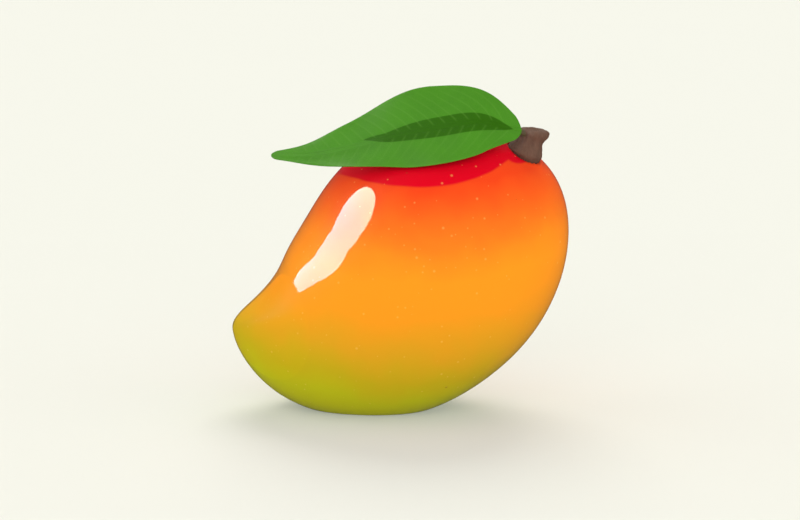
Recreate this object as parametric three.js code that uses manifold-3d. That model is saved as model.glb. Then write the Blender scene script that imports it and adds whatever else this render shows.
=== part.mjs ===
// A ripe mango as it is picked: the fruit, the cut stub of its stalk and one leaf.
// Millimetres. +X is to the right with the beak on the left, +Y is away from the viewer, +Z is up.
// The fruit rests on a small flat spot at Z = 0, and the origin is on that surface, under the middle
// of the fruit.
import * as THREE from "three";
import { mergeVertices } from "three/addons/utils/BufferGeometryUtils.js";
import Module from "manifold-3d";

const wasm = await Module();
wasm.setup();

// Fruit
const HEART = new THREE.Vector3(3.15, 0, 49.4); // middle of the flesh, where the fruit is thickest
const HALF_THICKNESS = 40; // from the heart to either cheek
const CHEEK_FULLNESS = 2.12; // 2 makes elliptical cheeks, more makes them fuller
const BEAK_FADE = 2.4; // how soon the beak and the hollow over it fade towards the cheeks
const CHEEK_SMOOTHING = 40; // degrees of outline averaged on each side to give the plain body
const SMOOTHING_SAMPLES = 41;
const SWELL = 0.35; // height of the slow swells that keep the cheeks from being perfectly even
const SWELL_COUNT = 3; // swells round each cheek
const SWELL_TWIST = 4; // radians that they turn between the middle plane and a cheek
const FLAT_EDGE = 0.6; // softness of the edge round the flat spot
const FRUIT_DETAIL = 16; // splits of each edge of the icosahedron that the fruit is made from
const BEAK_ANGLE = 195; // where the skin bends most, as in OUTLINE
const BEAK_CROWDING = 0.3; // 0 spreads the triangles evenly, nearer 1 gathers them at the beak

// The fruit's outline in its middle plane: [degrees from +X towards +Z, distance from the heart].
const OUTLINE = [
  [12, 56.9], // bulge beside the stalk
  [34, 60.5], // shoulder below the stalk
  [52, 58.3], // where the stalk grows out
  [78, 51.0], // top, under the leaf
  [105, 45.7],
  [135, 40.9],
  [157, 40.4], // hollow back
  [175, 44.0],
  [187, 50.0],
  [193, 57.9],
  [196.5, 63.9], // upper side of the beak
  [200, 65.8], // tip of the beak
  [208, 66.1],
  [225, 63.4],
  [248, 56.4], // underside
  [272, 51.1],
  [302, 47.2],
  [328, 48.3],
  [350, 51.8],
];

// Stalk
const STALK_ANGLE = 46.2; // where it leaves the fruit, as in OUTLINE
const STALK_FORWARD = 7; // how far it stands in front of the fruit's middle plane
const STALK_LEAN = 19; // degrees from upright, towards +X
const STALK_TIP_FORWARD = 4; // degrees from upright, towards the viewer
const STALK_SIDES = 28;
const STALK_GAP = 0.35; // clearance in the sockets of the stalk's foot and the leaf's petiole
const DIMPLE_DEPTH = 1.3; // hollow in the skin round the stalk
const DIMPLE_RADIUS = 11;
const BARK_RIBS = 7; // low ribs that run up the stalk
const BARK_RIB_HEIGHT = 0.22;
// The stalk's profile: [height over the skin, radius, sideways shift towards +X].
const STALK_PROFILE = [
  [-4.5, 3.2, 0],
  [-4.0, 4.0, 0],
  [-1.8, 5.3, -0.2],
  [0.2, 6.1, -0.6], // swollen foot
  [1.4, 5.9, -0.6],
  [3.0, 5.2, -0.5],
  [4.6, 4.6, -0.4],
  [6.2, 4.5, -0.1], // neck
  [7.5, 4.9, 0.2], // flare below the cut
  [8.4, 4.9, 0.3],
  [9.0, 4.5, 0.3],
  [9.3, 3.8, 0.3], // rim of the cut face
];
const CUT_DISH = 0.4; // how far the middle of the cut face lies below its rim
const CUT_SLOPE = 0.2; // rise of the slanting cut towards +X, per mm
const CUT_LEVEL = 0.8; // distance towards +X where the slanting cut keeps the profile's height
const CUT_START = 7.2; // height from which the stalk follows the slant

// Leaf
const BLADE_THICKNESS = 0.9;
const BLADE_HALF_WIDTH = 15.6;
const BLADE_WIDEST = 0.335; // share of the length from the base to the widest place
const BLADE_POWER = 1.23; // power of the width's rise from the base, less makes the base rounder
const BASE_ROOM = 0.045; // share of the length that the width's curve starts before the base
const TIP_ROOM = 0.29; // share of the length that it runs on past the tip, more makes a blunter tip
const BASE_ROUNDING = 0.032; // share of the length over which the base is rounded off
const TIP_ROUNDING = 0.03;
const BLADE_FOLD = 0.1; // rise of the blade away from its midrib, per mm of width
const BLADE_TILT_BASE = 50; // degrees that the blade stands up from level, at its base
const BLADE_TILT_TIP = 56;
const MARGIN_WAVES = 3; // waves along each margin
const MARGIN_WAVE_HEIGHT = 0.6;
const LOWER_WAVES_PHASE = 1.9; // radians that the lower margin's waves are ahead of the upper one's
const CHANNEL_DEPTH = 0.5; // groove over the midrib
const CHANNEL_HALF_WIDTH = 2.4;
const MIDRIB_HEIGHT = 1.1; // how far the midrib stands out under the blade
const MIDRIB_HALF_WIDTH = 1.3;
const MIDRIB_FADE = 0.17; // share of the length, at the tip, over which it runs out
const BLADE_END = 0.001; // share of the length left off at both ends, where the width is nil
const ROW_EASING = 0.75; // 0 spaces the blade's rows evenly, 1 crowds them at its ends
const BLADE_STEPS_ALONG = 44;
const BLADE_STEPS_ACROSS = 8; // on each side of the midrib
// The midrib's path from the petiole to the tip.
const MIDRIB_PATH = [
  [41.7, -11.5, 99.3],
  [27.4, -15.5, 102.7],
  [13.1, -17.6, 101.1],
  [-1.2, -18.4, 98.5],
  [-15.5, -18.0, 94.7],
  [-29.8, -16.5, 91.8],
  [-44.1, -13.5, 90.8],
];

// Petiole, the leaf's own short stem
const PETIOLE_ROOT = [-2.0, -2.0, 6.6]; // its foot inside the stalk, in the stalk's own directions
const PETIOLE_RADIUS = 1.35; // where it leaves the stalk
const PETIOLE_END_RADIUS = 0.5; // where it has run out into the midrib
const PETIOLE_END = 0.14; // the place where it has run out, as a share of the blade
const PETIOLE_SIDES = 12;
const PETIOLE_STEPS = 8;

const COLOURS = {
  skin: { color: 0xfb9a2a, roughness: 0.35, metalness: 0 },
  bark: { color: 0x6c4d42, roughness: 0.8, metalness: 0 },
  leaf: { color: 0x518e2f, roughness: 0.45, metalness: 0 },
};

const { degToRad, radToDeg, lerp, clamp, euclideanModulo } = THREE.MathUtils;

// Value at an angle on a smooth closed curve through [degrees, value] pairs in rising order.
function aroundTheClock(pairs, degrees) {
  const pairAt = (i) => {
    const turn = Math.floor(i / pairs.length);
    const [angle, value] = pairs[i - turn * pairs.length];
    return [angle + 360 * turn, value];
  };
  const angle = euclideanModulo(degrees, 360);
  const following = pairs.findIndex(([pairAngle]) => pairAngle > angle);
  const i = (following < 0 ? pairs.length : following) - 1;
  const [[a0, v0], [a1, v1], [a2, v2], [a3, v3]] = [i - 1, i, i + 1, i + 2].map(pairAt);
  const t = (angle - a1) / (a2 - a1);
  const rise = ((v2 - v0) / (a2 - a0)) * (a2 - a1);
  const nextRise = ((v3 - v1) / (a3 - a1)) * (a2 - a1);
  return (
    (2 * t ** 3 - 3 * t ** 2 + 1) * v1 +
    (t ** 3 - 2 * t ** 2 + t) * rise +
    (3 * t ** 2 - 2 * t ** 3) * v2 +
    (t ** 3 - t ** 2) * nextRise
  );
}

// The larger of two values, with the corner between them rounded off.
function roundedMax(a, b, softness) {
  const near = Math.max(softness - Math.abs(a - b), 0) / softness;
  return Math.max(a, b) + (near * near * softness) / 4;
}

// The outline averaged over some degrees, the nearest of them most: the plump body without its beak.
function bodyRadius(degrees) {
  let sum = 0;
  let weights = 0;
  for (let k = 0; k < SMOOTHING_SAMPLES; k++) {
    const share = (2 * k) / (SMOOTHING_SAMPLES - 1) - 1;
    const weight = 1 - Math.abs(share);
    sum += weight * aroundTheClock(OUTLINE, degrees + CHEEK_SMOOTHING * share);
    weights += weight;
  }
  return sum / weights;
}

// Point of the smooth fruit in a direction from its heart, before the dimple and the flat spot.
function plainFruitPoint(direction) {
  const across = Math.hypot(direction.x, direction.z);
  const angle = Math.atan2(direction.z, direction.x);
  const size =
    (across ** CHEEK_FULLNESS + Math.abs(direction.y) ** CHEEK_FULLNESS) **
    (-1 / CHEEK_FULLNESS);
  const reach = across * size;
  const depth = direction.y * size;
  const edge = Math.max(1 - depth * depth, 0) ** BEAK_FADE;
  const body = bodyRadius(radToDeg(angle));
  const outline = aroundTheClock(OUTLINE, radToDeg(angle));
  const swell = SWELL * Math.sin(SWELL_COUNT * angle + SWELL_TWIST * depth) * (1 - edge);
  const radius = (lerp(body, outline, edge) + swell) * reach;
  return new THREE.Vector3(radius * Math.cos(angle), HALF_THICKNESS * depth, 0)
    .setZ(radius * Math.sin(angle))
    .add(HEART);
}

// Where the stalk leaves the skin, and the way it points.
const stalkDepth = -STALK_FORWARD / HALF_THICKNESS;
const stalkReach = Math.sqrt(1 - stalkDepth * stalkDepth);
const stalkTurn = new THREE.Euler(degToRad(STALK_TIP_FORWARD), degToRad(STALK_LEAN), 0);
const stalkAxis = new THREE.Vector3(0, 0, 1).applyEuler(stalkTurn);
const stalkFoot = plainFruitPoint(
  new THREE.Vector3(
    stalkReach * Math.cos(degToRad(STALK_ANGLE)),
    stalkDepth,
    stalkReach * Math.sin(degToRad(STALK_ANGLE)),
  ),
).addScaledVector(stalkAxis, -DIMPLE_DEPTH);
const stalkPlace = new THREE.Matrix4().makeRotationFromEuler(stalkTurn).setPosition(stalkFoot);

// Point given in the stalk's own directions, with its height measured along the stalk.
function onStalk(x, y, height) {
  return new THREE.Vector3(x, y, height).applyMatrix4(stalkPlace);
}

function fruitPoint(direction) {
  const point = plainFruitPoint(direction);
  const fromStalk = point.clone().sub(stalkFoot);
  const height = fromStalk.dot(stalkAxis);
  const away = fromStalk.addScaledVector(stalkAxis, -height).length();
  if (height > -DIMPLE_RADIUS) {
    point.addScaledVector(stalkAxis, -DIMPLE_DEPTH * Math.exp(-((away / DIMPLE_RADIUS) ** 2)));
  }
  point.z = roundedMax(point.z, 0, FLAT_EDGE);
  return point;
}

// A closed body of points in rings of equal count, with a fan at each end.
function loft(rings, firstEnd, lastEnd) {
  const points = rings.flat();
  const sides = rings[0].length;
  const triangles = [];
  for (let r = 0; r + 1 < rings.length; r++) {
    for (let s = 0; s < sides; s++) {
      const a = r * sides + s;
      const b = r * sides + ((s + 1) % sides);
      triangles.push(a, b, b + sides, a, b + sides, a + sides);
    }
  }
  const first = points.push(firstEnd) - 1;
  const last = points.push(lastEnd) - 1;
  const lastRing = (rings.length - 1) * sides;
  for (let s = 0; s < sides; s++) {
    const next = (s + 1) % sides;
    triangles.push(first, next, s);
    triangles.push(last, lastRing + s, lastRing + next);
  }
  return new THREE.BufferGeometry().setFromPoints(points).setIndex(triangles);
}

// A closed thin body with two faces over one grid, both split into triangles alike.
function twoFacedSheet(rows, columns, pointAt) {
  const points = [];
  for (const face of [1, -1]) {
    for (let i = 0; i <= rows; i++) {
      for (let j = 0; j <= columns; j++) points.push(pointAt(i / rows, (2 * j) / columns - 1, face));
    }
  }
  const upper = ([i, j]) => i * (columns + 1) + j;
  const under = (place) => upper(place) + (rows + 1) * (columns + 1);
  const triangles = [];
  for (let i = 0; i < rows; i++) {
    for (let j = 0; j < columns; j++) {
      const corners = [[i, j], [i, j + 1], [i + 1, j + 1], [i + 1, j]];
      const [a, b, c, d] = corners.map(upper);
      const [e, f, g, h] = corners.map(under);
      triangles.push(a, b, c, a, c, d, g, f, e, h, g, e);
    }
  }
  const margin = [];
  for (let j = 0; j < columns; j++) margin.push([0, j]);
  for (let i = 0; i < rows; i++) margin.push([i, columns]);
  for (let j = columns; j > 0; j--) margin.push([rows, j]);
  for (let i = rows; i > 0; i--) margin.push([i, 0]);
  margin.forEach((here, k) => {
    const next = margin[(k + 1) % margin.length];
    triangles.push(upper(next), upper(here), under(here));
    triangles.push(upper(next), under(here), under(next));
  });
  return new THREE.BufferGeometry().setFromPoints(points).setIndex(triangles);
}

function solidOf(geometry) {
  const bare = geometry.clone();
  bare.deleteAttribute("normal");
  bare.deleteAttribute("uv");
  const merged = mergeVertices(bare, 1e-4);
  return new wasm.Manifold(
    new wasm.Mesh({
      numProp: 3,
      vertProperties: merged.attributes.position.array,
      triVerts: new Uint32Array(merged.index.array),
    }),
  );
}

function geometryOf(solid) {
  const mesh = solid.getMesh();
  const geometry = new THREE.BufferGeometry();
  geometry.setAttribute("position", new THREE.BufferAttribute(mesh.vertProperties, 3));
  geometry.setIndex(new THREE.BufferAttribute(mesh.triVerts, 1));
  geometry.computeVertexNormals();
  return geometry;
}

// The stalk as rings round its axis, grown by a clearance for the socket that takes its foot.
function stalkGeometry(clearance) {
  const [lowest] = STALK_PROFILE[0];
  const [highest, , topShift] = STALK_PROFILE.at(-1);
  const slanted = (x, height) => {
    const share = Math.max(height - CUT_START, 0) / (highest - CUT_START);
    return height + CUT_SLOPE * share * (x - CUT_LEVEL) - clearance;
  };
  const rings = STALK_PROFILE.map(([height, radius, shift]) => {
    const ring = [];
    for (let s = 0; s < STALK_SIDES; s++) {
      const turn = (2 * Math.PI * s) / STALK_SIDES;
      const rib = height > 0 ? BARK_RIB_HEIGHT * Math.cos(BARK_RIBS * turn) : 0;
      const out = radius + rib + clearance;
      const x = shift + out * Math.cos(turn);
      ring.push(onStalk(x, out * Math.sin(turn), slanted(x, height)));
    }
    return ring;
  });
  return loft(
    rings,
    onStalk(0, 0, lowest - clearance),
    onStalk(topShift, 0, slanted(topShift, highest) - CUT_DISH),
  );
}

// The fruit is a ball of even triangles drawn out to the skin, with a socket for the stalk.
function fruitGeometry() {
  const ball = new THREE.IcosahedronGeometry(1, FRUIT_DETAIL);
  const position = ball.attributes.position;
  const direction = new THREE.Vector3();
  const pull = new THREE.Vector3(Math.cos(degToRad(BEAK_ANGLE)), 0, Math.sin(degToRad(BEAK_ANGLE)));
  pull.multiplyScalar(BEAK_CROWDING);
  for (let i = 0; i < position.count; i++) {
    direction.fromBufferAttribute(position, i).normalize().add(pull).normalize();
    const point = fruitPoint(direction);
    position.setXYZ(i, point.x, point.y, point.z);
  }
  return geometryOf(solidOf(ball).subtract(solidOf(stalkGeometry(STALK_GAP))));
}

const midrib = new THREE.CatmullRomCurve3(
  MIDRIB_PATH.map(([x, y, z]) => new THREE.Vector3(x, y, z)),
  false,
  "catmullrom",
);

// A quarter circle's rise from 0 at an end of the blade to 1 where its rounding stops.
function roundedEnd(fromEnd, rounding) {
  const left = 1 - Math.min(fromEnd / rounding, 1);
  return Math.sqrt(1 - left * left);
}

// Half-width of the blade, from its round base through its widest place to its blunt tip.
function bladeHalfWidth(along) {
  const toBase = BLADE_WIDEST + BASE_ROOM;
  const toTip = 1 - BLADE_WIDEST + TIP_ROOM;
  const rise = ((along + BASE_ROOM) / toBase) ** BLADE_POWER;
  const fall = ((1 - along + TIP_ROOM) / toTip) ** ((BLADE_POWER * toTip) / toBase);
  const ends = roundedEnd(along, BASE_ROUNDING) * roundedEnd(1 - along, TIP_ROUNDING);
  return BLADE_HALF_WIDTH * rise * fall * ends;
}

// Point in the blade: along from 0 at the base to 1 at the tip, across from -1 at the lower margin
// to 1 at the upper one, face 1 on the glossy upper face and -1 on the underside.
function bladePoint(along, across, face) {
  const forward = midrib.getTangent(along);
  const tilt = degToRad(lerp(BLADE_TILT_BASE, BLADE_TILT_TIP, along));
  const upward = new THREE.Vector3(0, Math.cos(tilt), Math.sin(tilt));
  upward.addScaledVector(forward, -upward.dot(forward)).normalize();
  const outward = new THREE.Vector3().crossVectors(upward, forward);
  const reach = across * bladeHalfWidth(along);
  const phase = 2 * Math.PI * MARGIN_WAVES * along + (across > 0 ? 0 : LOWER_WAVES_PHASE);
  const wave = MARGIN_WAVE_HEIGHT * across ** 2 * Math.sin(phase) * Math.sin(Math.PI * along);
  const fade = Math.min(1, (1 - along) / MIDRIB_FADE);
  const nearRib = (width) => fade * Math.exp(-((reach / width) ** 2));
  const channel = CHANNEL_DEPTH * nearRib(CHANNEL_HALF_WIDTH);
  const rib = face < 0 ? MIDRIB_HEIGHT * nearRib(MIDRIB_HALF_WIDTH) : 0;
  const lift = BLADE_FOLD * Math.abs(reach) + wave - channel - rib + (face * BLADE_THICKNESS) / 2;
  return midrib.getPoint(along).addScaledVector(upward, reach).addScaledVector(outward, lift);
}

// Rows of the blade lie closer together near its round base and its tip.
function bladeGeometry() {
  return twoFacedSheet(BLADE_STEPS_ALONG, 2 * BLADE_STEPS_ACROSS, (share, across, face) => {
    const eased = (1 - Math.cos(Math.PI * share)) / 2;
    const along = lerp(share, eased, ROW_EASING);
    return bladePoint(clamp(along, BLADE_END, 1 - BLADE_END), across, face);
  });
}

// The petiole as rings from its foot in the stalk to the place where it runs out in the midrib.
function petioleGeometry(clearance) {
  const inBlade = (along) => bladePoint(along, 0, 1).lerp(bladePoint(along, 0, -1), 0.6);
  const root = onStalk(...PETIOLE_ROOT);
  const base = inBlade(BLADE_END);
  const inward = root.clone().sub(base).normalize();
  const path = new THREE.CatmullRomCurve3([
    root.addScaledVector(inward, clearance),
    base,
    inBlade(PETIOLE_END / 2),
    inBlade(PETIOLE_END),
  ]);
  const { normals, binormals } = path.computeFrenetFrames(PETIOLE_STEPS);
  const rings = normals.map((normal, step) => {
    const share = step / PETIOLE_STEPS;
    const radius = lerp(PETIOLE_RADIUS, PETIOLE_END_RADIUS, share) + clearance;
    const centre = path.getPointAt(share);
    const ring = [];
    for (let s = 0; s < PETIOLE_SIDES; s++) {
      const turn = (2 * Math.PI * s) / PETIOLE_SIDES;
      const sideways = normal.clone().multiplyScalar(radius * Math.cos(turn));
      ring.push(sideways.addScaledVector(binormals[step], radius * Math.sin(turn)).add(centre));
    }
    return ring;
  });
  return loft(rings, path.getPoint(0), path.getPoint(1));
}

function named(name, geometry, colours) {
  const mesh = new THREE.Mesh(geometry, new THREE.MeshStandardMaterial(colours));
  mesh.name = name;
  return mesh;
}

const stalk = solidOf(stalkGeometry(0)).subtract(solidOf(petioleGeometry(STALK_GAP)));
const leaf = solidOf(bladeGeometry()).add(solidOf(petioleGeometry(0)));

const mango = new THREE.Group();
mango.add(named("fruit", fruitGeometry(), COLOURS.skin));
mango.add(named("stalk", geometryOf(stalk), COLOURS.bark));
mango.add(named("leaf", geometryOf(leaf), COLOURS.leaf));
export default mango;
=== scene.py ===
# %% [markdown]
# # A ripe mango
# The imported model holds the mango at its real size: the fruit, the cut stub of its stalk and one leaf.
# Here each of them gets the surface that the eye sees. A piece is drawn again by the formula of its
# solid, only with many more points, so that gloss runs smoothly over it and fine relief has room.

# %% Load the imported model
import math

import bmesh
import bpy
import numpy as np
from mathutils import Euler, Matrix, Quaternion, Vector


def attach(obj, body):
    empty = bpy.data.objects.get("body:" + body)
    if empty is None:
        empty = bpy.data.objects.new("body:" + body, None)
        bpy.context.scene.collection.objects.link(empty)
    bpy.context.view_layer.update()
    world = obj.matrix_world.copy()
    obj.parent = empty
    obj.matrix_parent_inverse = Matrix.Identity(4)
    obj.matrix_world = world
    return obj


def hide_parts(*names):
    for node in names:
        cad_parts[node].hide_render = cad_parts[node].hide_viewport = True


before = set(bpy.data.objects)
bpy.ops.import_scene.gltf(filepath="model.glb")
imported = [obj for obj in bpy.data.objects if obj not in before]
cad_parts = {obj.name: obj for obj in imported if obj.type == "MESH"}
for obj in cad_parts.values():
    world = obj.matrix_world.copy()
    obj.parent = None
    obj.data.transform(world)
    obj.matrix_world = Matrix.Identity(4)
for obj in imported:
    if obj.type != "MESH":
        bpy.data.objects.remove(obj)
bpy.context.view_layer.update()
MM = 0.001  # the formulas work in millimetres, and Blender in metres

# %% [markdown]
# ## The camera
# The picture looks at the mango from a little above its middle, from about an arm's length and more.
# A long lens keeps the outline free of perspective stretch, as in a product photograph. The lens
# follows from the width that the picture spans at the mango, so only real lengths are written down.

# %% Place the camera
VIEW_ELEVATION = 9.5  # degrees above the horizon
VIEW_DISTANCE = 895
VIEW_WIDTH = 280  # how much the picture spans at the mango
AIM_HEIGHT = 52.3
SENSOR_WIDTH = 36

camera_data = bpy.data.cameras.new("viewpoint")
camera_data.sensor_width = SENSOR_WIDTH
camera_data.lens = SENSOR_WIDTH * VIEW_DISTANCE / VIEW_WIDTH
camera = bpy.data.objects.new("viewpoint", camera_data)
bpy.context.scene.collection.objects.link(camera)
elevation = math.radians(VIEW_ELEVATION)
camera.location = (
    0,
    -VIEW_DISTANCE * math.cos(elevation) * MM,
    (AIM_HEIGHT + VIEW_DISTANCE * math.sin(elevation)) * MM,
)
camera.rotation_euler = (math.pi / 2 - elevation, 0, 0)
bpy.context.scene.camera = camera
print("lens: %.1f mm" % camera_data.lens)

# %% [markdown]
# ## Curves that the shapes share
# Two kinds of curve give all the shapes. One runs round the clock through the fruit's outline and
# closes on itself. The other runs once along a path, for the stalk, the petiole and the midrib.
# Both pass exactly through their few points. Gloss shows every jump in the bend of a surface, so the
# slopes of the closed curve are solved for all its points at once, until its bend has no jumps. The
# path takes each slope from the points on either side, which is enough for small and dull parts.


# %% Smooth curves through a few points
def hermite(share, start, start_slope, end, end_slope):
    """Value between two points whose slopes are known, at a share of the way from 0 to 1."""
    square, cube = share**2, share**3
    return (
        (2 * cube - 3 * square + 1) * start
        + (cube - 2 * square + share) * start_slope
        + (3 * square - 2 * cube) * end
        + (cube - square) * end_slope
    )


def clock_slopes(angles, values):
    """Slopes at the points of a closed curve for which its bend, too, changes without jumps."""
    step = np.diff(angles, append=angles[0] + 360)
    rise = np.diff(values, append=values[0]) / step
    before, rise_before = np.roll(step, 1), np.roll(rise, 1)
    here = np.arange(len(angles))
    weights = np.diag(2 / before + 2 / step)
    weights[here, here - 1] += 1 / before
    weights[here, (here + 1) % len(angles)] += 1 / step
    return np.linalg.solve(weights, 3 * (rise_before / before + rise / step))


def around_the_clock(pairs, degrees):
    """Value at each angle on a smooth closed curve through pairs of degrees and value."""
    angles, values = np.array(pairs, float).T
    slopes = clock_slopes(angles, values)
    turned = np.mod(degrees - angles[0], 360) + angles[0]
    here = np.searchsorted(angles, turned, side="right") - 1
    ahead = (here + 1) % len(angles)
    step = np.mod(angles[ahead] - angles[here], 360)
    share = (turned - angles[here]) / step
    return hermite(share, values[here], slopes[here] * step, values[ahead], slopes[ahead] * step)


def along_path(points, share):
    """Places, and the directions of travel, at shares from 0 to 1 of a smooth path through points."""
    points = np.array(points, float)
    before, after = 2 * points[0] - points[1], 2 * points[-1] - points[-2]
    padded = np.vstack([before, points, after])
    slopes = (padded[2:] - padded[:-2]) / 2
    spot = np.clip(share, 0, 1) * (len(points) - 1)
    here = np.minimum(spot.astype(int), len(points) - 2)

    def place(at):
        rest = (at - here)[..., None]
        return hermite(rest, points[here], slopes[here], points[here + 1], slopes[here + 1])

    nudge = 1e-4
    travel = place(spot + nudge) - place(spot - nudge)
    return place(spot), unit(travel)


def unit(vectors):
    """Vectors scaled to length one."""
    return vectors / np.maximum(np.linalg.norm(vectors, axis=-1, keepdims=True), 1e-12)


def smooth_step(value, low, high):
    """0 below low, 1 above high, and a soft rise between them."""
    share = np.clip((value - low) / (high - low), 0, 1)
    return share * share * (3 - 2 * share)


def bell(value, width):
    """1 at 0, fading to nothing over a few widths on either side."""
    return np.exp(-((value / width) ** 2))


# %% [markdown]
# ## From points to pieces
# Each formula gives a plain list of points, and the faces only say which points belong together.
# A tube joins rings of equal count, and a sheet joins a grid of points on its upper face to the same
# grid on its underside. Values that a material needs later are stored on the points by name.


# %% Build a piece from points
def make_piece(name, points, faces, material, node, marks):
    """Makes a smooth mesh from points in millimetres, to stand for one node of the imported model."""
    mesh = bpy.data.meshes.new(name)
    mesh.from_pydata((points * MM).tolist(), [], faces)
    for mark, values in marks.items():
        kind, field = ("FLOAT_VECTOR", "vector") if values.ndim > 1 else ("FLOAT", "value")
        stored = mesh.attributes.new(mark, kind, "POINT")
        stored.data.foreach_set(field, values.astype(np.float32).ravel())
    mesh.shade_smooth()
    mesh.materials.append(material)
    piece = bpy.data.objects.new(name, mesh)
    bpy.context.scene.collection.objects.link(piece)
    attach(piece, "root")
    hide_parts(node)
    print(name, "has", len(mesh.vertices), "points and", len(mesh.polygons), "faces")


def tube_faces(rows, sides):
    """Faces of a tube of rings, with a flat face over the first ring and the last."""
    faces = []
    for row in range(rows - 1):
        for side in range(sides):
            beside = (side + 1) % sides
            low, high = row * sides, (row + 1) * sides
            faces.append((low + side, low + beside, high + beside, high + side))
    last = (rows - 1) * sides
    faces.append(tuple(reversed(range(sides))))
    faces.append(tuple(range(last, last + sides)))
    return faces


def sheet_faces(rows, columns):
    """Faces of a thin sheet: a grid of points above, the same grid below, and the margin between."""
    grid = np.arange(rows * columns).reshape(rows, columns)
    corners = [grid[:-1, :-1], grid[:-1, 1:], grid[1:, 1:], grid[1:, :-1]]
    above = np.stack(corners, -1).reshape(-1, 4)
    below = above[:, ::-1] + rows * columns
    rim = np.concatenate([grid[0, :-1], grid[:-1, -1], grid[-1, :0:-1], grid[:0:-1, 0]])
    ahead = np.roll(rim, -1)
    margin = np.stack([ahead, rim, rim + rows * columns, ahead + rows * columns], -1)
    return np.vstack([above, below, margin]).tolist()


# %% [markdown]
# ## How materials are put together
# A material here is a small program of nodes. These helpers keep its steps short to read: one adds a
# node and feeds its inputs, the others do sums, spread a range of values, blend two paints and lay a
# tint over a colour. Paints are written as screen values from 0 to 255 and turned into the linear
# light Blender uses.


# %% Helpers for nodes
def feed(tree, node, inputs):
    """Feeds a node's inputs, by name or number, from another node's output or with a fixed value."""
    for name, value in inputs.items():
        if isinstance(value, bpy.types.NodeSocket):
            tree.links.new(value, node.inputs[name])
        else:
            node.inputs[name].default_value = value


def add(tree, kind, inputs=None, **settings):
    """Adds a node with its settings, and feeds its inputs."""
    made = tree.nodes.new(kind)
    for name, value in settings.items():
        setattr(made, name, value)
    feed(tree, made, inputs or {})
    return made


def maths(tree, operation, *values):
    return add(tree, "ShaderNodeMath", dict(enumerate(values)), operation=operation).outputs[0]


def vector_maths(tree, operation, *values, output="Vector"):
    made = add(tree, "ShaderNodeVectorMath", dict(enumerate(values)), operation=operation)
    return made.outputs[output]


def measure(tree, operation, *values):
    """A number that vectors give: a distance, a length, or a reach in a direction."""
    return vector_maths(tree, operation, *values, output="Value")


def spread(tree, value, low, high, to_low=0.0, to_high=1.0):
    """Softly turns values between low and high into values between to_low and to_high."""
    ends = {"Value": value, "From Min": low, "From Max": high, "To Min": to_low, "To Max": to_high}
    return add(tree, "ShaderNodeMapRange", ends, interpolation_type="SMOOTHSTEP").outputs[0]


def blend(tree, share, first, second):
    """Blends two paints, from the first at share 0 to the second at share 1."""
    return add(tree, "ShaderNodeMix", {0: share, 6: first, 7: second}, data_type="RGBA").outputs[2]


def tint(tree, colour, tone, mask, strength):
    """Lays a tone over a colour, at a strength from 0 to 1 where the mask is 1."""
    return blend(tree, maths(tree, "MULTIPLY", mask, strength), colour, tone)


def paint(red, green, blue):
    """A paint given by screen values, as linear light."""

    def linear(value):
        value /= 255
        return value / 12.92 if value <= 0.04045 else ((value + 0.055) / 1.055) ** 2.4

    return (linear(red), linear(green), linear(blue), 1)


def new_material(name):
    """An empty material with its shader. Returns the material, its node tree and the shader node."""
    material = bpy.data.materials.new(name)
    material.use_nodes = True
    return material, material.node_tree, material.node_tree.nodes["Principled BSDF"]


def dress(tree, shader, colour, rough, relief, rest):
    """Feeds a shader its colour, roughness, relief in millimetres, and the rest by name."""
    bump = add(tree, "ShaderNodeBump", {"Height": relief, "Distance": MM, "Strength": 1.0})
    feed(tree, shader, {"Base Color": colour, "Roughness": rough, "Normal": bump.outputs[0], **rest})


def place_in_mm(tree):
    """The place on the piece in millimetres."""
    where = add(tree, "ShaderNodeTexCoord").outputs["Object"]
    return add(tree, "ShaderNodeVectorMath", {0: where, "Scale": 1 / MM}, operation="SCALE").outputs[0]


def stored_mark(tree, name, output="Fac"):
    return add(tree, "ShaderNodeAttribute", attribute_name=name).outputs[output]


# %% [markdown]
# ## Effects that several finishes share
# Nothing that grew is one even colour. Skin, leaf and bark all have slow cloudy patches with a finer
# grain in them, and skin and bark both have small breathing pores. Each effect is one node group,
# built once, and each material places it with a size of its own.


# %% Node group: patches and grain
def new_group(name, sizes, results):
    """An empty node group that takes a place and sizes. Returns the group, its entry and its exit."""
    group = bpy.data.node_groups.new(name, "ShaderNodeTree")
    group.interface.new_socket("Place", in_out="INPUT", socket_type="NodeSocketVector")
    for size, usual in sizes.items():
        socket = group.interface.new_socket(size, in_out="INPUT", socket_type="NodeSocketFloat")
        socket.default_value = usual
    for result in results:
        group.interface.new_socket(result, in_out="OUTPUT", socket_type="NodeSocketFloat")
    return group, group.nodes.new("NodeGroupInput"), group.nodes.new("NodeGroupOutput")


def patches_group():
    """Slow patches of a given size, and a grain a few times finer, both from 0 to 1."""
    sizes = {"Patch Size": 10.0, "Grain Size": 1.0}
    group, entry, leave = new_group("patches_and_grain", sizes, ["Patches", "Grain"])
    for size, detail, result in (("Patch Size", 2.0, "Patches"), ("Grain Size", 3.0, "Grain")):
        scale = maths(group, "DIVIDE", 1.0, entry.outputs[size])
        noise = {"Vector": entry.outputs["Place"], "Scale": scale, "Detail": detail}
        cloud = add(group, "ShaderNodeTexNoise", noise).outputs["Fac"]
        feed(group, leave, {result: spread(group, cloud, 0.3, 0.7)})
    return group


PATCHES = patches_group()
print("node group:", PATCHES.name)


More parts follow.
